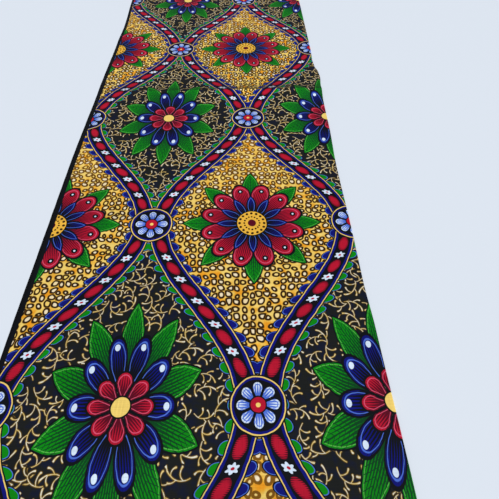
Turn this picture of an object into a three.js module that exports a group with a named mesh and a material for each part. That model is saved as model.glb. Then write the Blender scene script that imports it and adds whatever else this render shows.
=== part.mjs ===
// A length of wax printed cotton, folded once lengthwise and laid out flat.
// Millimetres, +Z up. X runs across the folded length with the fold at +X, Y runs along it,
// and Z = 0 is the surface that it lies on. The cloth is one wall: the hidden layer lies flat,
// turns over at the fold and comes back as the layer that shows.
import * as THREE from 'three';
import { mergeVertices } from 'three/addons/utils/BufferGeometryUtils.js';

// The cut piece
const CUT_LENGTH = 1829; // two yards
const CUT_WIDTH = 1168; // 46 inches, selvedge to selvedge
const WALL = 1.0; // the cloth with the small ripples that never press out

// How it is folded
const FOLD_RADIUS = 1.5; // of the middle of the wall, round the fold
const FOLD_STEPS = 8;
const FOLD_EASE = 70; // the upper layer comes down to the lower one over this width
const LAYER_GAP = 0.4; // between the layers where they lie closest
const UPPER_SKEW = 5; // how far the upper layer has slid along by its selvedge
const LOWER_SKEW = -4;
const LOWER_SHOWS = 3.5; // the hidden layer reaches this much further, on average
const WANDER_REACH = 160; // the fold's wander has died out at this distance from it

// Spacing of the sections and of the points round each one
const SECTION_STEP = 50;
const UPPER_STEP = 32;
const LOWER_STEPS = 4;
const CREASE_STEPS = [-1, -0.5, -0.2, 0, 0.2, 0.5, 1]; // in run-ups and falls of the crease
const CLOSEST_STATIONS = 3.5;
const SLOPE_REACH = 0.05; // to either side of a point, to find how the wall slopes there

const HALF = CUT_WIDTH / 2;
const QUARTER_TURN = (Math.PI / 2) * FOLD_RADIUS;
const REST = WALL + LAYER_GAP; // middle of the lower wall to middle of the upper one

// The folded edge wanders out of line along the length
const FOLD_EDGE = [
  { y: -915, out: 0.5 },
  { y: -700, out: 1.5 },
  { y: -500, out: 0 },
  { y: -420, out: -2.5 },
  { y: -290, out: -1.5 },
  { y: -135, out: -2.5 },
  { y: 20, out: 2 },
  { y: 110, out: 2.5 },
  { y: 175, out: 5 },
  { y: 225, out: 9 },
  { y: 250, out: 7.5 },
  { y: 278, out: 0.5 },
  { y: 310, out: -1.5 },
  { y: 370, out: 1 },
  { y: 560, out: 1 },
  { y: 915, out: 0 },
];

// The two selvedges wander too, each in its own way
const SELVEDGES = [
  { y: -915, upper: 0, lower: 1.5 },
  { y: -640, upper: 2, lower: -1 },
  { y: -380, upper: -1.5, lower: 1 },
  { y: -90, upper: 1, lower: 2.5 },
  { y: 190, upper: -3, lower: -1.5 },
  { y: 430, upper: -5.5, lower: -6 },
  { y: 540, upper: -8.5, lower: -9.5 },
  { y: 720, upper: -2, lower: -4.5 },
  { y: 915, upper: -1, lower: 0.5 },
];

// Creases left from packing, on the threads of the cloth: ridges with a sharp crest, a run-up on
// one side and a fall on the other
const CROSS_CREASES = [
  { y: 161, height: 7.2, runUp: 90, fall: 47, from: -360, to: 430, strongAt: 190 },
  { y: -270, height: 1.6, runUp: 40, fall: 34, from: -330, to: 120, strongAt: -160 },
  { y: 645, height: 2.4, runUp: 36, fall: 30, from: -180, to: 400, strongAt: 120 },
  { y: -735, height: 2.0, runUp: 34, fall: 38, from: -380, to: 330, strongAt: -60 },
];
const LONG_CREASES = [
  { x: -44, height: 2.2, runUp: 38, fall: 26, from: 60, to: 990, strongAt: 560 },
  { x: -18, height: 1.4, runUp: 34, fall: 30, from: -480, to: 90, strongAt: -60 },
];

// Broad places where the upper layer stands a little off the lower one
const SWELLS = [
  { x: 215, y: 110, across: 120, along: 190, height: 2.6 },
  { x: 60, y: -150, across: 190, along: 150, height: 1.8 },
  { x: -190, y: 30, across: 130, along: 210, height: 2.2 },
  { x: 200, y: -420, across: 120, along: 230, height: 1.7 },
  { x: -110, y: -560, across: 170, along: 180, height: 2.4 },
  { x: 130, y: 420, across: 180, along: 160, height: 2.0 },
  { x: -215, y: 520, across: 110, along: 240, height: 2.5 },
  { x: 90, y: 800, across: 200, along: 130, height: 2.2 },
  { x: 150, y: -800, across: 150, along: 140, height: 2.3 },
  { x: -285, y: -915, across: 95, along: 110, height: 5.5 },
  { x: 40, y: 915, across: 120, along: 60, height: 3.0 },
];

const smooth = (t) => THREE.MathUtils.smoothstep(t, 0, 1);

// The value of one column of a table at y, eased from row to row
function along(table, column, y) {
  const next = table.findIndex((row) => row.y >= y);
  if (next <= 0) return (next === 0 ? table[0] : table[table.length - 1])[column];
  const before = table[next - 1];
  const after = table[next];
  const share = smooth((y - before.y) / (after.y - before.y));
  return THREE.MathUtils.lerp(before[column], after[column], share);
}

// 1 at the middle of a swell, 0 from its rim outwards
function hump(distance) {
  return distance < 1 ? smooth(1 - distance) : 0;
}

// How strong a crease is at a place along it: full at strongAt and fading to its two ends
function strength(crease, place) {
  const end = place < crease.strongAt ? crease.from : crease.to;
  return hump(Math.abs(place - crease.strongAt) / (Math.abs(end - crease.strongAt) + 1)) ** 0.6;
}

// The height of a crease's ridge at a distance across it
function ridge(crease, distance) {
  const side = distance < 0 ? crease.runUp : crease.fall;
  return crease.height * Math.max(0, 1 - Math.abs(distance) / side) ** 2;
}

// How far the creases lift the upper layer
function creases(x, y) {
  let height = 0;
  for (const crease of CROSS_CREASES) height += ridge(crease, y - crease.y) * strength(crease, x);
  for (const crease of LONG_CREASES) height += ridge(crease, x - crease.x) * strength(crease, y);
  return height;
}

// How far it stands off the lower layer apart from them
function swells(x, y) {
  let height = 0;
  for (const swell of SWELLS) {
    height += swell.height * hump(Math.hypot((x - swell.x) / swell.across, (y - swell.y) / swell.along));
  }
  return height;
}

// The middle of the wall. across is measured on the cloth from the fold line, negative on the
// lower layer and positive on the upper one, and y is the section.
function middle(across, y) {
  const wander = along(FOLD_EDGE, 'out', y);
  const centre = HALF / 2 - FOLD_RADIUS;
  if (Math.abs(across) <= QUARTER_TURN) {
    const turn = across / FOLD_RADIUS;
    const halfHeight = FOLD_RADIUS + creases(centre, y) / 2;
    return new THREE.Vector3(
      centre + wander + FOLD_RADIUS * Math.cos(turn),
      y,
      WALL / 2 + halfHeight * (1 + Math.sin(turn)),
    );
  }
  const flat = Math.abs(across) - QUARTER_TURN;
  const share = flat / (HALF - QUARTER_TURN);
  const upper = across > 0;
  const selvedge = along(SELVEDGES, upper ? 'upper' : 'lower', y) + (upper ? 0 : LOWER_SHOWS);
  const x = centre - flat + wander * (1 - smooth(flat / WANDER_REACH)) - share * selvedge;
  const slid = y + share * (upper ? UPPER_SKEW : LOWER_SKEW);
  if (!upper) return new THREE.Vector3(x, slid, WALL / 2);
  const settled = smooth(flat / FOLD_EASE);
  const lift = THREE.MathUtils.lerp(2 * FOLD_RADIUS, REST, settled);
  const height = creases(centre - flat, y) + settled * swells(centre - flat, y);
  return new THREE.Vector3(x, slid, WALL / 2 + lift + height);
}

// Evenly spaced stations from low to high, with more of them over each crest and one at each place
// in a list
function stations(low, high, step, crests, places = []) {
  const count = Math.round((high - low) / step);
  const even = Array.from({ length: count + 1 }, (_, i) => THREE.MathUtils.lerp(low, high, i / count));
  const wanted = crests.flatMap(({ at, runUp, fall }) =>
    CREASE_STEPS.map((part) => at + part * (part < 0 ? runUp : fall)),
  );
  const inside = [...wanted, ...places].filter(
    (place) => place > low + CLOSEST_STATIONS && place < high - CLOSEST_STATIONS,
  );
  const clear = even.filter(
    (place, i) =>
      i === 0 || i === count || inside.every((other) => Math.abs(other - place) > 2 * CLOSEST_STATIONS),
  );
  return [...clear, ...inside].sort((a, b) => a - b);
}

// Where the columns of points run, from the upper layer's selvedge round the fold to the lower one's
function columns() {
  const lower = stations(-HALF, -QUARTER_TURN, (HALF - QUARTER_TURN) / LOWER_STEPS, []);
  const turn = stations(-QUARTER_TURN, QUARTER_TURN, (2 * QUARTER_TURN) / FOLD_STEPS, []);
  const crests = LONG_CREASES.map((crease) => ({
    at: HALF / 2 - FOLD_RADIUS - crease.x + QUARTER_TURN,
    runUp: crease.fall,
    fall: crease.runUp,
  }));
  const upper = stations(QUARTER_TURN, HALF, UPPER_STEP, crests);
  return [...lower, ...turn.slice(1), ...upper.slice(1)].reverse();
}

// The whole wall: a block with one cell per pair of stations, each point carried to its place
function foldedCloth() {
  const across = columns();
  const rows = stations(
    -CUT_LENGTH / 2,
    CUT_LENGTH / 2,
    SECTION_STEP,
    CROSS_CREASES.map(({ y, runUp, fall }) => ({ at: y, runUp, fall })),
    FOLD_EDGE.map((row) => row.y),
  );
  const block = new THREE.BoxGeometry(1, 1, 1, across.length - 1, rows.length - 1, 1);
  block.deleteAttribute('normal');
  block.deleteAttribute('uv');
  const geometry = mergeVertices(block, 1e-6);
  const points = geometry.attributes.position;
  for (let i = 0; i < points.count; i++) {
    const s = across[Math.round((points.getX(i) + 0.5) * (across.length - 1))];
    const y = rows[Math.round((points.getY(i) + 0.5) * (rows.length - 1))];
    const acrossWall = middle(s + SLOPE_REACH, y).sub(middle(s - SLOPE_REACH, y));
    const alongWall = middle(s, y + SLOPE_REACH).sub(middle(s, y - SLOPE_REACH));
    const outward = alongWall.cross(acrossWall).normalize();
    const place = middle(s, y).addScaledVector(outward, points.getZ(i) * WALL);
    points.setXYZ(i, place.x, place.y, place.z);
  }
  // The origin is on the surface that it lies on, under the middle of the folded length
  geometry.computeBoundingBox();
  const centre = geometry.boundingBox.getCenter(new THREE.Vector3());
  geometry.translate(-centre.x, -centre.y, 0);
  return geometry;
}

const cotton = new THREE.MeshStandardMaterial({ color: 0xb08a3a, roughness: 0.62, metalness: 0 });
const group = new THREE.Group();
const cloth = new THREE.Mesh(foldedCloth(), cotton);
cloth.name = 'folded_cloth';
group.add(cloth);

export default group;
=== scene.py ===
"""A two-yard length of wax printed cotton, folded once lengthwise and laid flat.

Metres, in the frame of the solids: X runs across the folded length with the fold at +X, Y runs
along it, and Z = 0 is the surface that it lies on. The tables of the lie are in millimetres.
"""
import bpy
import bmesh
import math
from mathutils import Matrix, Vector, noise


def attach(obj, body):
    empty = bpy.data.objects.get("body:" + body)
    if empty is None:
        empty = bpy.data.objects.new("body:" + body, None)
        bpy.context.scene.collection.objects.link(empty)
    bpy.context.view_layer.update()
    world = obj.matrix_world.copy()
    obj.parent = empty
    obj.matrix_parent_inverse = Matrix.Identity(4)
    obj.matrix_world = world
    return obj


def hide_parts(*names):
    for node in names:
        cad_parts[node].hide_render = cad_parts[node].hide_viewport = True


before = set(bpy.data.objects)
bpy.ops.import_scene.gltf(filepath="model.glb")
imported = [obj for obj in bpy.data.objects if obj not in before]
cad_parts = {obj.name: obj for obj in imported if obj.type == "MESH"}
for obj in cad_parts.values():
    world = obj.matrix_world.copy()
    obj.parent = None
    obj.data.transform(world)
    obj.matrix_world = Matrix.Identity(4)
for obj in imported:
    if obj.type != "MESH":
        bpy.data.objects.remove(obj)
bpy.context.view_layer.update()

MM = 0.001

# The cut piece, and how it is folded
CUT_LENGTH = 1829 * MM
CUT_WIDTH = 1168 * MM
HALF = CUT_WIDTH / 2
WALL = 1.0 * MM  # of the solid, whose outer face the cloth lies in
CLOTH = 0.4 * MM  # its own thickness
FOLD_RADIUS = 1.5 * MM  # of the middle of the wall, round the fold
FOLD_EASE = 70 * MM  # the upper layer comes down to the hidden one over this width
LAYER_GAP = 0.4 * MM
UPPER_SKEW = 5 * MM  # how far each layer has slid along by its selvedge
LOWER_SKEW = -4 * MM
LOWER_SHOWS = 3.5 * MM  # the hidden layer reaches this much further, on average
WANDER_REACH = 160 * MM  # the fold's wander has died out at this distance from it
QUARTER_TURN = math.pi / 2 * FOLD_RADIUS
FOLD_START = HALF / 2 - FOLD_RADIUS
TOP = 2 * WALL + LAYER_GAP  # height of the upper layer's face where it lies closest
FREE_TOP = 0.95 * MM  # and at a free edge, where it comes down on the hidden layer

# Cells of the cloth's grid, and the closer lines round a crest
CELL = 6.2 * MM
FOLD_CELLS = 14
LOWER_CELLS = 12
EDGE_LINES = [1.5 * MM, 3.5 * MM]
CREST_LINES = [0, 0.9 * MM, 2.2 * MM, 4.6 * MM]
CREST_ROOM = 7.5 * MM
DECIMALS = 7  # of a metre, to which two lines are told apart


# ---------------------------------------------------------------- how the cloth lies

# The folded edge wanders out of line
FOLD_EDGE = (
    dict(y=-915, out=0.5),
    dict(y=-700, out=1.5),
    dict(y=-500, out=0),
    dict(y=-420, out=-2.5),
    dict(y=-290, out=-1.5),
    dict(y=-135, out=-2.5),
    dict(y=20, out=2),
    dict(y=110, out=2.5),
    dict(y=175, out=5),
    dict(y=225, out=9),
    dict(y=250, out=7.5),
    dict(y=278, out=0.5),
    dict(y=310, out=-1.5),
    dict(y=370, out=1),
    dict(y=560, out=1),
    dict(y=915, out=0),
)

# The two selvedges wander too, each in its own way
SELVEDGES = (
    dict(y=-915, upper=0, lower=1.5),
    dict(y=-640, upper=2, lower=-1),
    dict(y=-380, upper=-1.5, lower=1),
    dict(y=-90, upper=1, lower=2.5),
    dict(y=190, upper=-3, lower=-1.5),
    dict(y=430, upper=-5.5, lower=-6),
    dict(y=540, upper=-8.5, lower=-9.5),
    dict(y=720, upper=-2, lower=-4.5),
    dict(y=915, upper=-1, lower=0.5),
)

# Packing creases on the threads of the cloth: a run-up, a sharp crest and a shorter fall
CROSS_CREASES = (
    dict(at=161, height=7.2, run_up=90, fall=47, low=-360, high=430, strong_at=190),
    dict(at=-270, height=1.6, run_up=40, fall=34, low=-330, high=120, strong_at=-160),
    dict(at=645, height=2.4, run_up=36, fall=30, low=-180, high=400, strong_at=120),
    dict(at=-735, height=2.0, run_up=34, fall=38, low=-380, high=330, strong_at=-60),
)
LONG_CREASES = (
    dict(at=-44, height=2.2, run_up=38, fall=26, low=60, high=990, strong_at=560),
    dict(at=-18, height=1.4, run_up=34, fall=30, low=-480, high=90, strong_at=-60),
)
TALLEST = max(crease["height"] for crease in CROSS_CREASES + LONG_CREASES)
SHADE_BEFORE = 2.5  # how far the shade painted along a crease reaches on the run-up's side
CREST_UNEVEN = dict(by=0.12, length=55)  # as a share of its height, and how far along
CREST_FADE = 0.6  # the lower it is, the further a crest keeps its height

# Broad places where the upper layer stands a little off the hidden one
SWELLS = (
    dict(x=215, y=110, across=120, along=190, height=2.6),
    dict(x=60, y=-150, across=190, along=150, height=1.8),
    dict(x=-190, y=30, across=130, along=210, height=2.2),
    dict(x=200, y=-420, across=120, along=230, height=1.7),
    dict(x=-110, y=-560, across=170, along=180, height=2.4),
    dict(x=130, y=420, across=180, along=160, height=2.0),
    dict(x=-215, y=520, across=110, along=240, height=2.5),
    dict(x=90, y=800, across=200, along=130, height=2.2),
    dict(x=150, y=-800, across=150, along=140, height=2.3),
    dict(x=-285, y=-915, across=95, along=110, height=5.5),
    dict(x=40, y=915, across=120, along=60, height=3.0),
)

# The small unevenness of any laid cloth: size of the hollows and how deep they are
RIPPLES = (
    dict(across=105, along=140, depth=0.5, seed=0.0),
    dict(across=42, along=60, depth=0.22, seed=9.5),
    dict(across=19, along=24, depth=0.08, seed=19.0),
)

# How the free edges stray: by how much, over what length, and how far in from the edge
SELVEDGE_WAVER = dict(by=0.4 * MM, length=21 * MM)
RAGGED_END = dict(by=0.7 * MM, length=17 * MM, reach=9 * MM)
DROOP = dict(by=9 * MM, length=60 * MM, reach=19 * MM)
FLUTTER = dict(by=1.6 * MM, length=75 * MM, seed=4.0)
EDGE_SWELL = 0.4  # share of the swells that is left at a free edge


def smooth(t):
    t = min(max(t, 0.0), 1.0)
    return t * t * (3 - 2 * t)


def blend(first, second, share):
    return first + share * (second - first)


def wobble(*place):
    """Even noise between about -1 and 1 at a place of one to three numbers."""
    return noise.noise(Vector((*place, 0.0, 0.0)[:3]))


def along_table(table, column, y):
    """The value of one column at y, in mm, eased from row to row."""
    if y <= table[0]["y"]:
        return table[0][column]
    for before, after in zip(table, table[1:]):
        if y <= after["y"]:
            share = smooth((y - before["y"]) / (after["y"] - before["y"]))
            return blend(before[column], after[column], share)
    return table[-1][column]


def ridge(crease, distance, place):
    """Height of a crease at a distance across it and a place along it."""
    side = crease["run_up"] if distance < 0 else crease["fall"]
    slope = max(0.0, 1 - abs(distance) / side) ** 2
    end = crease["low"] if place < crease["strong_at"] else crease["high"]
    fade = smooth(1 - abs(place - crease["strong_at"]) / (abs(end - crease["strong_at"]) + 1))
    uneven = 1 + CREST_UNEVEN["by"] * wobble(place / CREST_UNEVEN["length"], crease["at"])
    return crease["height"] * slope * fade ** CREST_FADE * uneven


def creases(x, y):
    """How far the creases lift the upper layer, in mm, at a place in mm."""
    height = sum(ridge(crease, y - crease["at"], x) for crease in CROSS_CREASES)
    return height + sum(ridge(crease, x - crease["at"], y) for crease in LONG_CREASES)


def shade(crease, distance, place):
    """How much shade is painted into the cloth's colour by a crease: most at its crest, and fading down
    its fall.
    """
    side = crease["fall"] if distance > 0 else SHADE_BEFORE
    return ridge(crease, 0, place) / TALLEST * max(0.0, 1 - abs(distance) / side) ** 2


def painted_shade(x, y):
    """The strongest painted shade of the creases of the upper layer, at a place in mm."""
    across = [shade(crease, y - crease["at"], x) for crease in CROSS_CREASES]
    return max(across + [shade(crease, x - crease["at"], y) for crease in LONG_CREASES])


def swells(x, y):
    """How far it stands off the hidden layer apart from the creases, in mm, at a place in mm."""
    height = 0.0
    for swell in SWELLS:
        away = math.hypot((x - swell["x"]) / swell["across"], (y - swell["y"]) / swell["along"])
        height += swell["height"] * smooth(1 - away)
    for ripple in RIPPLES:
        height += ripple["depth"] * wobble(x / ripple["across"], y / ripple["along"], ripple["seed"])
    return height


def from_fold(across):
    return max(abs(across) - QUARTER_TURN, 0.0)


def wander(across, y):
    """How far the cloth is moved out by the wander of the folded edge."""
    return along_table(FOLD_EDGE, "out", y / MM) * MM * (1 - smooth(from_fold(across) / WANDER_REACH))


def flat_place(across, y):
    """Where a point of the grid is on the flat cut, whose print keeps straight past the wander."""
    return Vector((HALF + across - wander(across, y), CUT_LENGTH / 2 + y, 0))


def skin(across, y):
    """A point of the cloth's outer face. across runs from the fold, minus on the hidden layer."""
    if abs(across) <= QUARTER_TURN:
        turn = across / FOLD_RADIUS
        radius = FOLD_RADIUS + WALL / 2
        half_height = radius + creases(FOLD_START / MM, y / MM) * MM / 2
        x = FOLD_START + wander(across, y) + radius * math.cos(turn)
        return Vector((x, y, half_height * (1 + math.sin(turn))))
    flat = from_fold(across)
    share = flat / (HALF - QUARTER_TURN)
    upper = across > 0
    selvedge = along_table(SELVEDGES, "upper" if upper else "lower", y / MM) * MM
    selvedge += SELVEDGE_WAVER["by"] * wobble(y / SELVEDGE_WAVER["length"], across)
    selvedge += 0 if upper else LOWER_SHOWS
    x = FOLD_START - flat + wander(across, y) - share * selvedge
    to_end = CUT_LENGTH / 2 - abs(y)
    ragged = RAGGED_END["by"] * wobble(flat / RAGGED_END["length"], y)
    ragged *= smooth(1 - to_end / RAGGED_END["reach"])
    slid = y + share * (UPPER_SKEW if upper else LOWER_SKEW) + ragged
    if not upper:
        return Vector((x, slid, 0))
    settled = smooth(flat / FOLD_EASE)
    droop = DROOP["reach"] + DROOP["by"] * wobble(y / DROOP["length"], flat / DROOP["length"])
    lifted = smooth(min(HALF - across, to_end) / droop)
    flutter = wobble(y / FLUTTER["length"], flat / FLUTTER["length"], FLUTTER["seed"])
    edge_top = FREE_TOP + max(0.0, flutter) * FLUTTER["by"] * (1 - lifted)
    base = blend(2 * FOLD_RADIUS + WALL, blend(edge_top, TOP, lifted), settled)
    height = creases((FOLD_START - flat) / MM, y / MM)
    height += settled * blend(EDGE_SWELL, 1.0, lifted) * swells((FOLD_START - flat) / MM, y / MM)
    return Vector((x, slid, max(base + height * MM, FREE_TOP)))


def even(low, high, cells):
    return [blend(low, high, i / cells) for i in range(cells + 1)]


def lines(low, high, crests):
    """Where grid lines run from low to high: even ones, and closer ones at each crest and end."""
    close = [crest + side * off for crest in crests for off in CREST_LINES for side in (-1, 1)]
    close += [low + off for off in EDGE_LINES] + [high - off for off in EDGE_LINES]
    plain = [
        place
        for place in even(low, high, 2 * round((high - low) / CELL / 2))
        if all(abs(place - crest) > CREST_ROOM for crest in crests)
    ]
    return sorted({round(place, DECIMALS) for place in plain + close})


# The bake's map, in shares of its picture: the two ends of the upper layer side by side, and the
# hidden layer and the inner face smaller, above them
PANEL_WIDE = 0.492
PANEL_HIGH = 0.770
PANEL_GAP = 0.008
STRIP_LOW = PANEL_HIGH + 2 * PANEL_GAP
STRIP_HIGH = 1 - STRIP_LOW - PANEL_GAP / 2
HIDDEN_LONG = 0.655
RIM_WIDTH = 2.4 * MM


def bake_place(side, place):
    """Where a place of the flat cut lies on the bake's map, by the side of the cloth it is on."""
    across, along = place[0] / CUT_WIDTH, place[1] / CUT_LENGTH
    if side in ("near", "far"):
        start = 0.0 if side == "near" else 0.5
        left = start + PANEL_GAP / 2
        return (left + (across - 0.5) * 2 * PANEL_WIDE, PANEL_GAP / 2 + (along - start) * 2 * PANEL_HIGH)
    if side == "hidden":
        return (PANEL_GAP / 2 + along * HIDDEN_LONG, STRIP_LOW + across * 2 * STRIP_HIGH)
    left = HIDDEN_LONG + 2 * PANEL_GAP
    return (left + along * (1 - left - PANEL_GAP), STRIP_LOW + across * STRIP_HIGH)


def bake_side(face, grid, inner):
    """Which part of the bake's map a face of the cloth goes to."""
    if face in inner:
        return "inner"
    middle = sum((vert[grid] for vert in face.verts), Vector()) / len(face.verts)
    if middle.x < HALF:
        return "hidden"
    return "near" if middle.y < CUT_LENGTH / 2 else "far"


def beyond(place):
    """A place on the border of the flat cut, moved out past it, as if the cut edge were laid open."""
    x, y, _ = place
    x += RIM_WIDTH * ((x > CUT_WIDTH - MM) - (x < MM))
    y += RIM_WIDTH * ((y > CUT_LENGTH - MM) - (y < MM))
    return Vector((x, y, 0))


def centre(bm):
    """Brings the middle of the folded length over the origin."""
    sides = [[vert.co[axis] for vert in bm.verts] for axis in (0, 1)]
    middle = [(min(side) + max(side)) / 2 for side in sides]
    bmesh.ops.translate(bm, verts=bm.verts[:], vec=(-middle[0], -middle[1], 0))


def finished(name, bm):
    """The object that a bmesh becomes once it is shaped."""
    mesh = bpy.data.meshes.new(name)
    bm.to_mesh(mesh)
    bm.free()
    piece = bpy.data.objects.new(name, mesh)
    bpy.context.scene.collection.objects.link(piece)
    return piece


def folded_cloth():
    """The cut piece as a grid of its flat size, folded, and given its thickness inwards."""
    long_crests = [FOLD_START + QUARTER_TURN - crease["at"] * MM for crease in LONG_CREASES]
    cross_crests = [crease["at"] * MM for crease in CROSS_CREASES]
    across = even(-HALF, -QUARTER_TURN, LOWER_CELLS)
    across += even(-QUARTER_TURN, QUARTER_TURN, FOLD_CELLS)[1:]
    across += lines(QUARTER_TURN, HALF, long_crests)[1:]
    rows = lines(-CUT_LENGTH / 2, CUT_LENGTH / 2, cross_crests)
    bm = bmesh.new()
    bmesh.ops.create_grid(bm, x_segments=len(across) - 1, y_segments=len(rows) - 1, size=0.5)
    flat = bm.verts.layers.float_vector.new("flat")
    grid = bm.verts.layers.float_vector.new("grid")
    painted_crease_shade = bm.verts.layers.float.new("painted_crease_shade")
    for vert in bm.verts:
        s = across[round((0.5 - vert.co.x) * (len(across) - 1))]
        y = rows[round((vert.co.y + 0.5) * (len(rows) - 1))]
        vert[flat] = flat_place(s, y)
        # the painted shade of the creases, kept on each point for the material to darken the print with
        vert[painted_crease_shade] = painted_shade((FOLD_START - from_fold(s)) / MM, y / MM) if s > 0 else 0
        vert[grid] = Vector((s + HALF, y + CUT_LENGTH / 2, 0))
        vert.co = skin(s, y)
    bm.normal_update()
    outer_faces, outer_verts = set(bm.faces), set(bm.verts)
    inner_faces = set(bmesh.ops.solidify(bm, geom=bm.faces[:], thickness=CLOTH)["geom"])
    cut = bm.loops.layers.uv.new("cut")
    baked = bm.loops.layers.uv.new("OFBake")
    for face in bm.faces:
        rim = face not in outer_faces and face not in inner_faces
        face.smooth = not rim
        side = bake_side(face, grid, inner_faces)
        for loop in face.loops:
            place = loop.vert[grid]
            laid_open = rim and loop.vert not in outer_verts
            loop[cut].uv = loop.vert[flat].xy
            loop[baked].uv = bake_place(side, beyond(place) if laid_open else place)
    for name in ("flat", "grid"):
        bm.verts.layers.float_vector.remove(bm.verts.layers.float_vector[name])
    centre(bm)
    return finished("printed_cloth", bm)


# ---------------------------------------------------------------- writing patterns as sums

NUMBER = "NodeSocketFloat"
VECTOR = "NodeSocketVector"
INK_EDGE = 0.35 * MM  # how soft the edge of printed ink is


class Amount:
    """A number that varies over the cloth, carried by a socket of a node tree."""

    def __init__(self, tree, socket):
        self.tree = tree
        self.socket = socket

    def maths(self, operation, *others, clamp=False):
        node = self.tree.nodes.new("ShaderNodeMath")
        node.operation = operation
        node.use_clamp = clamp
        for slot, value in zip(node.inputs, (self, *others)):
            feed(self.tree, slot, value)
        return Amount(self.tree, node.outputs[0])

    def __add__(self, other):
        return self.maths("ADD", other)

    def __sub__(self, other):
        return self.maths("SUBTRACT", other)

    def __mul__(self, other):
        return self.maths("MULTIPLY", other)

    def __truediv__(self, other):
        return self.maths("DIVIDE", other)

    def __rsub__(self, other):
        return self.scaled(-1.0, other)

    def __abs__(self):
        return self.maths("ABSOLUTE")

    __radd__ = __add__
    __rmul__ = __mul__

    def scaled(self, gain, offset, clamp=False):
        """Times a gain, plus an offset."""
        return self.maths("MULTIPLY_ADD", gain, offset, clamp=clamp)

    def least(self, other):
        return self.maths("MINIMUM", other)

    def most(self, other):
        return self.maths("MAXIMUM", other)

    def repeated(self, pitch):
        """The distance to the nearest repeat, plus or minus half a pitch."""
        return self.maths("WRAP", pitch / 2, -pitch / 2)


def feed(tree, slot, value):
    """Gives a node's input a value, or links it to the socket that carries one."""
    if isinstance(value, Amount):
        tree.links.new(value.socket, slot)
    else:
        slot.default_value = value


def reach(x, y):
    """Distance from the origin of x and y."""
    return (x * x + y * y).maths("SQRT")


def step(inside, softness=INK_EDGE):
    """1 where inside is above 0, with an edge as soft as printed ink."""
    return inside.scaled(1 / softness, 0.5, clamp=True)


def past(inside, depth, softness=INK_EDGE):
    """1 where inside is above a depth."""
    return step(inside - depth, softness)


def band(value, middle, half_width):
    """1 on a line of this half width, where value is near middle."""
    return step(half_width - abs(value - middle))


def ink(red, green, blue):
    """A colour from its 0 to 255 screen values, in linear light."""
    parts = [channel / 255 for channel in (red, green, blue)]
    return tuple(p / 12.92 if p <= 0.04045 else ((p + 0.055) / 1.055) ** 2.4 for p in parts) + (1.0,)


def mixed(tree, first, second, share, blend_type="MIX"):
    """Two colours mixed, as one printed over the other where the share is 1."""
    node = tree.nodes.new("ShaderNodeMix")
    node.data_type = "RGBA"
    node.blend_type = blend_type
    node.clamp_factor = True
    feed(tree, node.inputs[0], share)
    feed(tree, node.inputs[6], first)
    feed(tree, node.inputs[7], second)
    return Amount(tree, node.outputs[2])


def inked(tree, cloth, inside, *layers):
    """Prints inks over each other in a shape. Each layer is an ink and how deep inside it starts."""
    for colour, depth in layers:
        cloth = mixed(tree, cloth, colour, past(inside, depth))
    return cloth


def new_group(name, inputs, outputs):
    """A node group with named inputs and outputs, and its inputs as amounts."""
    tree = bpy.data.node_groups.new(name, "ShaderNodeTree")
    for label, kind in inputs:
        tree.interface.new_socket(name=label, in_out="INPUT", socket_type=kind)
    for label, kind in outputs:
        tree.interface.new_socket(name=label, in_out="OUTPUT", socket_type=kind)
    source = tree.nodes.new("NodeGroupInput")
    sink = tree.nodes.new("NodeGroupOutput")
    given = [Amount(tree, source.outputs[label]) for label, _ in inputs]
    return tree, given, sink


def put_out(tree, sink, *amounts):
    for slot, value in zip(sink.inputs, amounts):
        feed(tree, slot, value)
    return tree


def use_group(tree, group, **values):
    """Places a group in a tree. Input names are written with underscores for spaces."""
    node = tree.nodes.new("ShaderNodeGroup")
    node.node_tree = group
    for label, value in values.items():
        feed(tree, node.inputs[label.replace("_", " ").title()], value)
    return [Amount(tree, socket) for socket in node.outputs]


def numbers(*names):
    return [(name, NUMBER) for name in names]


def texture(tree, kind, vector, **settings):
    """A texture node in two dimensions, its settings given as attributes or inputs."""
    node = tree.nodes.new(kind)
    if kind == "ShaderNodeTexNoise":
        node.noise_dimensions = "2D"
    else:
        node.voronoi_dimensions = "2D"
    feed(tree, node.inputs["Vector"], vector)
    for name, value in settings.items():
        if hasattr(node, name):
            setattr(node, name, value)
        else:
            feed(tree, node.inputs[name.replace("_", " ").title()], value)
    return node


def clouds(tree, vector, size, detail=1.0):
    """Soft noise between 0 and 1 whose patches are about this size."""
    node = texture(tree, "ShaderNodeTexNoise", vector, Scale=1 / size, Detail=detail)
    return Amount(tree, node.outputs[0])


def parts_of(tree, vector):
    node = tree.nodes.new("ShaderNodeSeparateXYZ")
    feed(tree, node.inputs[0], vector)
    return [Amount(tree, socket) for socket in node.outputs]


def stretched(tree, vector, factors, shift=(0, 0, 0)):
    """A vector times three factors, and moved by a shift that may vary too."""
    node = tree.nodes.new("ShaderNodeVectorMath")
    node.operation = "MULTIPLY_ADD"
    for slot, value in zip(node.inputs, (vector, factors, shift)):
        feed(tree, slot, value)
    return Amount(tree, node.outputs[0])


# ---------------------------------------------------------------- shapes that the print repeats

TWIG_KNOB = dict(gain=0.9, offset=0.8)  # what a stroke's half width gains by its end, and starts at


def turned_group():
    """Folds the plane round its origin, so that one petal drawn along X becomes a ring of them."""
    tree, (x, y, count, turn), sink = new_group(
        "Turned", numbers("X", "Y", "Count", "Turn"), numbers("Along", "Aside", "Between")
    )
    sector = count.maths("POWER", -1.0) * math.tau
    half = sector * 0.5
    angle = y.maths("ARCTAN2", x) + turn * sector
    angle = abs(angle.maths("WRAP", half, half * -1.0))
    radius = reach(x, y)
    between = radius * (half - angle).maths("SINE")
    return put_out(tree, sink, radius * angle.maths("COSINE"), radius * angle.maths("SINE"), between)


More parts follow.
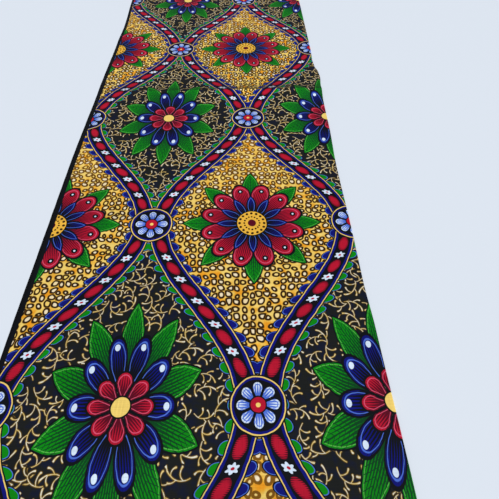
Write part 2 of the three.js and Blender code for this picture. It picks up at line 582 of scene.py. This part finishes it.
def blade_group():
    """How far inside a pointed leaf a place is: two arcs that meet at Start and End."""
    tree, (along, aside, start, end, wide), sink = new_group(
        "Blade", numbers("Along", "Aside", "Start", "End", "Half Width"), numbers("Inside")
    )
    long = (end - start) * 0.5
    radius = (long * long + wide * wide) / (wide * 2.0)
    return put_out(tree, sink, radius - reach(along - (start + end) * 0.5, aside + (radius - wide)))


def petal_group():
    """How far inside a round-ended petal a place is: an egg, wider towards End."""
    tree, (along, aside, start, end, wide, swell), sink = new_group(
        "Petal", numbers("Along", "Aside", "Start", "End", "Half Width", "Swell"), numbers("Inside")
    )
    place = (along - (start + end) * 0.5) / ((end - start) * 0.5)
    return put_out(tree, sink, (1.0 - reach(place, aside / (wide * (1.0 + swell * place)))) * wide)


def twig_stroke_group():
    """How far inside a bent stroke with round ends a place is. Heading and Bend are in radians."""
    tree, (along, aside, start_along, start_aside, heading, length, bend, wide), sink = new_group(
        "Twig Stroke",
        numbers("Along", "Aside", "Start Along", "Start Aside", "Heading", "Length", "Bend", "Half Width"),
        numbers("Inside"),
    )
    x, y = along - start_along, aside - start_aside
    cosine, sine = heading.maths("COSINE"), heading.maths("SINE")
    ahead, left = x * cosine + y * sine, y * cosine - x * sine
    radius = length / bend
    turn = ahead.maths("ARCTAN2", radius - left).most(0.0).least(bend)
    away = reach(ahead - radius * turn.maths("SINE"), left - radius * (1.0 - turn.maths("COSINE")))
    knob = (turn / bend).maths("POWER", 4.0).scaled(**TWIG_KNOB)
    return put_out(tree, sink, wide * knob - away)


def seeds_group(name, feature):
    """Loosely strewn seeds: a place in the turned axes of its nearest seed, or of the one after
    where the feature is F2, two chances that belong to that seed, and the distance to the border
    between seeds."""
    tree, (vector, pitch, looseness, turns), sink = new_group(
        name,
        [("Vector", VECTOR), *numbers("Pitch", "Looseness", "Turns")],
        numbers("Along", "Aside", "Chance", "Other Chance", "Border"),
    )
    per_metre = pitch.maths("POWER", -1.0)
    cells, borders = [
        texture(tree, "ShaderNodeTexVoronoi", vector, feature=kind, Scale=per_metre, Randomness=looseness)
        for kind in (feature, "DISTANCE_TO_EDGE")
    ]
    from_seed = tree.nodes.new("ShaderNodeVectorMath")
    from_seed.operation = "SUBTRACT"
    feed(tree, from_seed.inputs[0], vector)
    tree.links.new(cells.outputs["Position"], from_seed.inputs[1])
    turned = tree.nodes.new("ShaderNodeVectorRotate")
    turned.rotation_type = "Z_AXIS"
    tree.links.new(from_seed.outputs[0], turned.inputs["Vector"])
    turn, chance, other_chance = parts_of(tree, Amount(tree, cells.outputs["Color"]))
    feed(tree, turned.inputs["Angle"], turn * turns * math.tau)
    along, aside, _ = parts_of(tree, Amount(tree, turned.outputs[0]))
    border = Amount(tree, borders.outputs["Distance"]) * pitch
    return put_out(tree, sink, along, aside, chance, other_chance, border)


TURNED = turned_group()
BLADE = blade_group()
PETAL = petal_group()
TWIG_STROKE = twig_stroke_group()
SCATTERED = seeds_group("Scattered", "F1")
NEXT_SCATTERED = seeds_group("Next Scattered", "F2")


# ---------------------------------------------------------------- inks

AMBER = ink(228, 150, 30)
GOLD = ink(228, 176, 62)
STRAW = ink(234, 202, 108)
CREAM = ink(234, 217, 182)
SAND = ink(214, 188, 120)
BONE = ink(222, 218, 198)
UMBER = ink(118, 90, 24)
OCHRE = ink(122, 80, 14)
BROWN = ink(44, 26, 4)
NAVY = ink(7, 10, 17)
SLATE = ink(22, 24, 24)
MIDNIGHT = ink(14, 20, 40)
ROYAL = ink(6, 14, 112)
SKY = ink(74, 108, 204)
ICE = ink(206, 222, 240)
CRIMSON = ink(174, 16, 44)
ROSE = ink(206, 78, 108)
WINE = ink(84, 4, 28)
GREEN = ink(4, 128, 12)
MOSS = ink(3, 62, 26)
LIME = ink(84, 176, 70)


# ---------------------------------------------------------------- the grounds of the print

# The waver of every printed edge
WAVER = 3.0 * MM
WAVERS_PER_METRE = 38.0

# The pebbles: how they are strewn, the form of one, and each ink's depth inside its rim
STREWN_PEBBLES = dict(pitch=13.2 * MM, looseness=0.56, turns=0.5)
PEBBLE_SIZE = dict(gain=2.8 * MM, offset=3.8 * MM)  # half its width, over the seed's chance
PEBBLE_OVAL = 1.45  # its length over its width
PEBBLE_ROOM = 0.1 * MM  # at least this far from the border between two
PEBBLE_ROUNDING = 2.2 * MM
PEBBLE_HALO = dict(depth=-0.4 * MM, softness=0.6 * MM)
PEBBLE_RING = dict(depth=0.15 * MM, softness=0.8 * MM)
PEBBLE_PALE = dict(depth=2.85 * MM, softness=0.8 * MM)

# The twigs: how they are strewn, the bent stem of one and its side shoots, and its inks
STREWN_TWIGS = dict(pitch=26.5 * MM, looseness=0.5, turns=1.0)
TWIG_SIZE = dict(gain=0.3, offset=0.9)  # over the seed's chance
TWIG_STEM = dict(start_along=-15.5 * MM, start_aside=3 * MM, heading=-0.9, length=36.5 * MM, bend=1.9)
TWIG_SHOOTS = (
    dict(share=0.22, turned=0.8, length=15.5 * MM, bend=1.5),
    dict(share=0.46, turned=-1.1, length=11 * MM, bend=1.0),
    dict(share=0.66, turned=0.7, length=11 * MM, bend=1.4),
)
TWIG_HALF_WIDTH = 0.70 * MM
TWIG_ROOM = 2.6 * MM  # kept clear round the nearer of two that cross
TWIG_EDGE = dict(depth=-0.55 * MM, softness=1.0 * MM)
TWIG_PALE = dict(depth=0.2 * MM, softness=0.5 * MM)


def waver(tree, vector):
    """The cut's coordinates with the small waver of a printed edge."""
    wander = texture(
        tree, "ShaderNodeTexNoise", vector, Scale=WAVERS_PER_METRE, Detail=2.0, Roughness=0.6
    )
    return stretched(tree, Amount(tree, wander.outputs["Color"]), (WAVER,) * 3, vector)


def pebbled_gold(tree, vector, lit):
    """Gold strewn closely with pale pebbles, each in a ring that is lighter where lit is 1."""
    along, aside, size, tone, border = use_group(tree, SCATTERED, vector=vector, **STREWN_PEBBLES)
    wide = size.scaled(**PEBBLE_SIZE)
    oval = (1.0 - reach(along / (wide * PEBBLE_OVAL), aside / wide)) * wide
    inside = oval.maths("SMOOTH_MIN", border - PEBBLE_ROOM, PEBBLE_ROUNDING)
    patches = clouds(tree, vector, 24 * MM, detail=2.0)
    ground = mixed(tree, AMBER, GOLD, patches.scaled(gain=7.0, offset=-2.2, clamp=True))
    ground = mixed(tree, ground, STRAW, patches.scaled(gain=6.0, offset=-2.5, clamp=True))
    ground = mixed(tree, ground, OCHRE, past(inside, **PEBBLE_HALO))
    ground = mixed(tree, ground, mixed(tree, BROWN, OCHRE, lit), past(inside, **PEBBLE_RING))
    pale = mixed(tree, CREAM, STRAW, tone.scaled(gain=3.0, offset=-1.6, clamp=True))
    return mixed(tree, ground, pale, past(inside, **PEBBLE_PALE))


def branch(stem, share, turned, length, bend):
    """A side shoot that leaves a bent stem at a share of its length, turned away from it."""
    radius = stem["length"] / stem["bend"]
    on_arc = share * stem["bend"]
    ahead, left = radius * math.sin(on_arc), radius * (1 - math.cos(on_arc))
    cosine, sine = math.cos(stem["heading"]), math.sin(stem["heading"])
    return dict(
        start_along=stem["start_along"] + ahead * cosine - left * sine,
        start_aside=stem["start_aside"] + ahead * sine + left * cosine,
        heading=stem["heading"] + on_arc + turned,
        length=length,
        bend=bend,
    )


def twig(tree, seeds, vector):
    """How far inside a seed's twig a place is: a bent stem with its side shoots."""
    along, aside, size, other, _ = use_group(tree, seeds, vector=vector, **STREWN_TWIGS)
    grown = size.scaled(**TWIG_SIZE)
    aside = aside * (other - 0.5).maths("SIGN") / grown
    along = along / grown
    inside, *shoots = [
        use_group(tree, TWIG_STROKE, along=along, aside=aside, half_width=TWIG_HALF_WIDTH, **stroke)[0]
        for stroke in (TWIG_STEM, *(branch(TWIG_STEM, **shoot) for shoot in TWIG_SHOOTS))
    ]
    for shoot in shoots:
        inside = inside.most(shoot)
    return inside


def twigs(tree, vector):
    """How far inside any strewn twig a place is. Where two cross, the nearer one is kept clear."""
    nearest = twig(tree, SCATTERED, vector)
    following = twig(tree, NEXT_SCATTERED, vector)
    return nearest.most(following.least(-TWIG_ROOM - nearest))


def twigged_navy(tree, vector):
    """Near-black blue strewn with pale twigs, each edged in umber."""
    inside = twigs(tree, vector)
    patches = clouds(tree, vector, 18 * MM, detail=2.0)
    ground = mixed(tree, SLATE, MIDNIGHT, patches.scaled(gain=5.0, offset=-2.3, clamp=True))
    ground = mixed(tree, ground, UMBER, past(inside, **TWIG_EDGE))
    paleness = clouds(tree, vector, 7 * MM).scaled(gain=5.0, offset=-2.0, clamp=True)
    return mixed(tree, ground, mixed(tree, SAND, BONE, paleness), past(inside, **TWIG_PALE))


# ---------------------------------------------------------------- the figures of the print

# One repeat of the trellis, and its swaying ribbons
ACROSS = CUT_WIDTH / 3
ALONG = 660 * MM
FIRST_ALONG = 635 * MM
SWAY = 0.21 * ACROSS
WAVES = math.tau / ALONG
LONGER = (SWAY * WAVES) ** 2 / 4  # the share by which its sway makes a ribbon longer
RIBBON = 19 * MM  # half its width
SCALLOP = 11 * MM  # radius
SELVEDGE_STRIP = 7 * MM

# The beads on the ribbons, and the small flowers between them
BEADS = 7  # between one knot and the next
BEAD_PITCH = (1 + LONGER) * ALONG / 2 / BEADS
BEAD = dict(half_length=18.5 * MM, half_width=9.6 * MM)
BEAD_COMB = dict(pitch=2.6 * MM, at_rim=1.55 * MM, thins=0.34)
SMALL_FLOWER = dict(petals=6.0, radius=6.6 * MM, lobes=1.5 * MM, heart=2.2 * MM)

# Radii of the round parts of the big figures
SEED_HEAD = 31 * MM
STAR_HEART = 15.5 * MM
KNOT = 42 * MM
KNOT_HEART = 12.5 * MM
EYELET_PUPIL = 0.36  # of the eyelet's radius
STAR_SQUEEZE = 0.72  # the leaf star is this much shorter in the drawing than on the cloth

# How petals and leaves are drawn: depths inside the rim, and the comb and veins, as half widths
BODY_DEPTH = 2.0 * MM
INNER_LINE = dict(middle=3.9 * MM, half_width=0.45 * MM)
COMB = dict(pitch=3.4 * MM, at_root=2.6 * MM, thins=2.8 * MM)
VEINS = dict(slope=1.25, pitch=8.8 * MM, half_width=0.6 * MM, midrib=0.8 * MM, depth=3.6 * MM)


def ring(tree, cloth, x, y, shape, inks, count, turn, start, end, half_width, **more):
    """Prints a ring of petals or leaves: outline, body, combed root and an inner line."""
    along, aside, between = use_group(tree, TURNED, x=x, y=y, count=count, turn=turn)
    inside, = use_group(
        tree, shape, along=along, aside=aside, start=start, end=end, half_width=half_width, **more
    )
    inside = inside.least(between)
    outward = (along - start) / (end - start)
    comb = outward.scaled(-COMB["thins"], COMB["at_root"]) - abs(aside.repeated(COMB["pitch"]))
    body = mixed(tree, inks["body"], inks["deep"], step(comb))
    cloth = inked(tree, cloth, inside, (NAVY, 0), (body, BODY_DEPTH))
    cloth = mixed(tree, cloth, inks["line"], band(inside, **INNER_LINE))
    return cloth, along, aside, inside


def veined(tree, cloth, along, aside, inside, colour):
    """Prints a midrib and slanting side veins inside a leaf."""
    slant = abs((along - aside * VEINS["slope"]).repeated(VEINS["pitch"]))
    veins = step(VEINS["half_width"] - slant).most(step(VEINS["midrib"] - aside))
    return mixed(tree, cloth, colour, veins * past(inside, VEINS["depth"]))


def spot(tree, cloth, along, aside, place, radius, colour):
    return mixed(tree, cloth, colour, step(radius - reach(along - place, aside)))


def eyelet(tree, cloth, along, aside, place, radius):
    """A dark dot with a pale centre."""
    cloth = spot(tree, cloth, along, aside, place, radius, NAVY)
    return spot(tree, cloth, along, aside, place, radius * EYELET_PUPIL, ICE)


def big_flower(tree, cloth, x, y):
    """Crimson petals over green leaves, blue petals inside, and a gold seed head."""
    cloth, along, aside, inside = ring(
        tree, cloth, x, y, BLADE, dict(body=GREEN, deep=MOSS, line=LIME),
        count=8, turn=0.0, start=30 * MM, end=136 * MM, half_width=20 * MM,
    )
    cloth = veined(tree, cloth, along, aside, inside, MOSS)
    cloth, along, aside, _ = ring(
        tree, cloth, x, y, PETAL, dict(body=CRIMSON, deep=WINE, line=ROSE),
        count=12, turn=0.5, start=16 * MM, end=104 * MM, half_width=19 * MM, swell=0.28,
    )
    cloth = eyelet(tree, cloth, along, aside, place=84 * MM, radius=5.6 * MM)
    cloth, *_ = ring(
        tree, cloth, x, y, BLADE, dict(body=ROYAL, deep=NAVY, line=SKY),
        count=12, turn=0.0, start=14 * MM, end=72 * MM, half_width=10 * MM,
    )
    cloth = inked(tree, cloth, SEED_HEAD - reach(x, y), (NAVY, 0), (GOLD, 2.4 * MM))
    along, aside, _ = use_group(tree, TURNED, x=x, y=y, count=16.0, turn=0.0)
    for seed in (dict(place=24 * MM, radius=2.7 * MM), dict(place=15 * MM, radius=1.9 * MM)):
        cloth = spot(tree, cloth, along, aside, colour=BROWN, **seed)
    return spot(tree, cloth, x, y, place=0.0, radius=8 * MM, colour=WINE)


def leaf_star(tree, cloth, x, y):
    """A long star of green leaves with a small blue and crimson flower on it."""
    squeezed = y * STAR_SQUEEZE
    cloth, along, aside, inside = ring(
        tree, cloth, x, squeezed, BLADE, dict(body=GREEN, deep=MOSS, line=LIME),
        count=10, turn=0.5, start=20 * MM, end=120 * MM, half_width=19 * MM,
    )
    cloth = veined(tree, cloth, along, aside, inside, MOSS)
    cloth, along, aside, _ = ring(
        tree, cloth, x, squeezed, PETAL, dict(body=ROYAL, deep=NAVY, line=SKY),
        count=10, turn=0.0, start=16 * MM, end=80 * MM, half_width=14 * MM, swell=0.22,
    )
    cloth = spot(tree, cloth, along, aside, place=65 * MM, radius=4.0 * MM, colour=ICE)
    cloth, *_ = ring(
        tree, cloth, x, y, PETAL, dict(body=CRIMSON, deep=WINE, line=ROSE),
        count=8, turn=0.0, start=8 * MM, end=50 * MM, half_width=13 * MM, swell=0.25,
    )
    return inked(tree, cloth, STAR_HEART - reach(x, y), (NAVY, 0), (STRAW, 2.5 * MM))


def scallops(tree, cloth, side, place):
    """A row of half-round scallops along each edge of the ribbons, blue on gold and green on navy."""
    inside = SCALLOP - reach(place.repeated(BEAD_PITCH / 2), abs(side) - RIBBON)
    body = mixed(tree, GREEN, ROYAL, step(side))
    return inked(tree, cloth, inside, (NAVY, 0), (SKY, 1.6 * MM), (body, 2.6 * MM))


def ribbons(tree, cloth, side, place):
    """Blue ribbons edged in straw, strung with crimson beads and small white flowers."""
    across = abs(side)
    cloth = inked(
        tree, cloth, RIBBON - across, (NAVY, 0), (STRAW, 1.9 * MM), (ROYAL, 3.3 * MM), (NAVY, 7.6 * MM)
    )
    bead = place.repeated(BEAD_PITCH)
    inside = (1.0 - reach(bead / BEAD["half_length"], across / BEAD["half_width"])) * BEAD["half_width"]
    comb = inside.scaled(-BEAD_COMB["thins"], BEAD_COMB["at_rim"]) - abs(bead.repeated(BEAD_COMB["pitch"]))
    cloth = inked(tree, cloth, inside, (NAVY, 0), (mixed(tree, CRIMSON, WINE, step(comb)), 1.2 * MM))
    along = (place + BEAD_PITCH / 2).repeated(BEAD_PITCH)
    turn = side.maths("ARCTAN2", along) * SMALL_FLOWER["petals"]
    petals = turn.maths("COSINE") * SMALL_FLOWER["lobes"] + SMALL_FLOWER["radius"]
    radius = reach(along, side)
    cloth = mixed(tree, cloth, ICE, step(petals - radius))
    return mixed(tree, cloth, CRIMSON, step(SMALL_FLOWER["heart"] - radius))


def knot(tree, cloth, x, y):
    """The round flower that ties two ribbons where they meet."""
    radius = reach(x, y)
    cloth = inked(
        tree, cloth, KNOT - radius, (NAVY, 0), (STRAW, 2.2 * MM), (ROYAL, 4.0 * MM), (NAVY, 7.4 * MM)
    )
    cloth, *_ = ring(
        tree, cloth, x, y, PETAL, dict(body=ICE, deep=SKY, line=SKY),
        count=8, turn=0.0, start=6 * MM, end=34 * MM, half_width=9.0 * MM, swell=0.25,
    )
    return inked(tree, cloth, KNOT_HEART - radius, (NAVY, 0), (CRIMSON, 2.0 * MM), (STRAW, 9.3 * MM))


def selvedges(tree, cloth, cut):
    """A plain dark strip along both selvedges."""
    u, _, _ = parts_of(tree, cut)
    from_edge = u.least(CUT_WIDTH - u)
    return mixed(tree, cloth, NAVY, step(SELVEDGE_STRIP - from_edge))


def wax_print(tree, cut):
    """The whole print, from the place on the flat cut."""
    vector = waver(tree, cut)
    u, v, _ = parts_of(tree, vector)
    x = u.maths("PINGPONG", ACROSS / 2)
    y = (v - FIRST_ALONG).maths("PINGPONG", ALONG / 2)
    turn = y * WAVES
    slope = turn.maths("SINE") * (SWAY * WAVES)
    side = (turn.maths("COSINE") * SWAY + ACROSS / 4 - x) / (slope * slope + 1.0).maths("SQRT")
    place = y * (1 + LONGER) - (turn * 2.0).maths("SINE") * (LONGER / 2 / WAVES)
    lit = (v - FIRST_ALONG).repeated(ALONG).scaled(gain=6.5, offset=-0.3, clamp=True)
    cloth = mixed(tree, twigged_navy(tree, vector), pebbled_gold(tree, vector, lit), step(side))
    far_x = ACROSS / 2 - x
    far_y = ALONG / 2 - y
    cloth = scallops(tree, cloth, side, place)
    cloth = big_flower(tree, cloth, x, y)
    cloth = leaf_star(tree, cloth, far_x, far_y)
    cloth = ribbons(tree, cloth, side, place)
    cloth = knot(tree, cloth, x, far_y)
    cloth = knot(tree, cloth, far_x, y)
    return selvedges(tree, cloth, cut)


# ---------------------------------------------------------------- the cotton

WEAVE_PITCH = 0.38 * MM
YARN_HEIGHT = 0.006 * MM
SLUB_HEIGHT = 0.10 * MM
SLUB_WIDTH = 0.9 * MM
SLUB_THINNESS = 0.022  # its width over its length
WEFT_SHIFT = (3.1, 5.3, 0)  # so that the slubs of warp and weft differ
YARN_DYE = dict(gain=0.7, offset=0.65)
PATCH_DYE = dict(gain=0.24, offset=0.88)
# how far the painted crease shade darkens the print towards navy at most
PAINTED_SHADE_STRENGTH = 0.45


def yarns_group():
    """The plain weave of the cotton: its height, and a share that says how much dye each yarn took."""
    tree, (vector, pitch), sink = new_group(
        "Plain Weave", [("Vector", VECTOR), ("Pitch", NUMBER)], numbers("Height", "Dye")
    )
    u, v, _ = parts_of(tree, vector)
    across, along = u / pitch, v / pitch
    weave = (across * math.pi).maths("SINE") * (along * math.pi).maths("SINE")
    warp = clouds(tree, stretched(tree, vector, (1.0, SLUB_THINNESS, 1)), SLUB_WIDTH)
    weft = clouds(tree, stretched(tree, vector, (SLUB_THINNESS, 1.0, 1), WEFT_SHIFT), SLUB_WIDTH)
    slubs = (warp + weft) * 0.5
    return put_out(tree, sink, weave * YARN_HEIGHT + slubs * SLUB_HEIGHT, slubs)


def printed_cotton():
    material = bpy.data.materials.new("printed_cotton")
    material.use_nodes = True
    tree = material.node_tree
    shader = tree.nodes["Principled BSDF"]
    uv = tree.nodes.new("ShaderNodeUVMap")
    uv.uv_map = "cut"
    cut = Amount(tree, uv.outputs[0])
    height, dye = use_group(tree, yarns_group(), vector=cut, pitch=WEAVE_PITCH)
    depth = clouds(tree, cut, 60 * MM, detail=3.0)
    worn = dye.scaled(**YARN_DYE) * depth.scaled(**PATCH_DYE)
    worn_colour = tree.nodes.new("ShaderNodeCombineColor")
    for slot in worn_colour.inputs:
        feed(tree, slot, worn)
    colour = mixed(tree, wax_print(tree, cut), Amount(tree, worn_colour.outputs[0]), 1.0, "MULTIPLY")
    # Painted shade: the print darkened towards navy along the crests and falls of the creases, where they
    # are in shade
    painted_crease_shade = tree.nodes.new("ShaderNodeAttribute")
    painted_crease_shade.attribute_name = "painted_crease_shade"
    colour = mixed(tree, colour, NAVY, Amount(tree, painted_crease_shade.outputs["Fac"]) * PAINTED_SHADE_STRENGTH)
    feed(tree, shader.inputs["Base Color"], colour)
    bump = tree.nodes.new("ShaderNodeBump")
    bump.inputs["Strength"].default_value = 1.0
    bump.inputs["Distance"].default_value = 1.0
    feed(tree, bump.inputs["Height"], height)
    tree.links.new(bump.outputs[0], shader.inputs["Normal"])
    shader.inputs["Roughness"].default_value = 0.68
    shader.inputs["Specular IOR Level"].default_value = 0.12
    return material


# ---------------------------------------------------------------- the set

FLOOR_HALF = 5.0
FLOOR_COLOUR = (0.70, 0.755, 0.835, 1)
ALL_ROUND = dict(Color=(0.96, 0.98, 1.0, 1), Strength=0.34)
LIGHT_HEADING = (-0.22, 0.82, -0.43)
LIGHT_ENERGY = 5.0
LIGHT_BREADTH = math.radians(24)
EYE = (81.8 * MM, -712.5 * MM, 550 * MM)
LOOKS_DOWN = math.radians(55.9)
TURNED_RIGHT = math.radians(1.48)
LENS = 25.83  # millimetres, before a sensor this wide
SENSOR = 36


def floor():
    bm = bmesh.new()
    bmesh.ops.create_grid(bm, x_segments=1, y_segments=1, size=FLOOR_HALF)
    plane = finished("pale_floor", bm)
    material = bpy.data.materials.new("pale_floor")
    material.use_nodes = True
    shader = material.node_tree.nodes["Principled BSDF"]
    shader.inputs["Base Color"].default_value = FLOOR_COLOUR
    shader.inputs["Roughness"].default_value = 0.8
    shader.inputs["Specular IOR Level"].default_value = 0.2
    plane.data.materials.append(material)
    return plane


def studio():
    """Even light from all round, and one broad low light from the near side."""
    world = bpy.data.worlds.new("studio")
    world.use_nodes = True
    for name, value in ALL_ROUND.items():
        world.node_tree.nodes["Background"].inputs[name].default_value = value
    bpy.context.scene.world = world
    data = bpy.data.lights.new("key", "SUN")
    data.energy = LIGHT_ENERGY
    data.angle = LIGHT_BREADTH
    light = bpy.data.objects.new("key", data)
    light.rotation_euler = Vector(LIGHT_HEADING).to_track_quat("-Z", "Y").to_euler()
    bpy.context.scene.collection.objects.link(light)
    bpy.context.scene.view_settings.view_transform = "Standard"


def camera():
    """Just over half a metre above the near part of the cloth, looking along it and down."""
    data = bpy.data.cameras.new("camera")
    data.sensor_width = SENSOR
    data.lens = LENS
    data.clip_start = 10 * MM
    eye = bpy.data.objects.new("camera", data)
    level = math.cos(LOOKS_DOWN)
    look = Vector((math.sin(TURNED_RIGHT) * level, math.cos(TURNED_RIGHT) * level, -math.sin(LOOKS_DOWN)))
    eye.location = EYE
    eye.rotation_euler = look.to_track_quat("-Z", "Y").to_euler()
    bpy.context.scene.collection.objects.link(eye)
    bpy.context.scene.camera = eye


ground = floor()
studio()
camera()

cloth = folded_cloth()
cloth.data.materials.append(printed_cotton())
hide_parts("folded_cloth")
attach(cloth, "root")
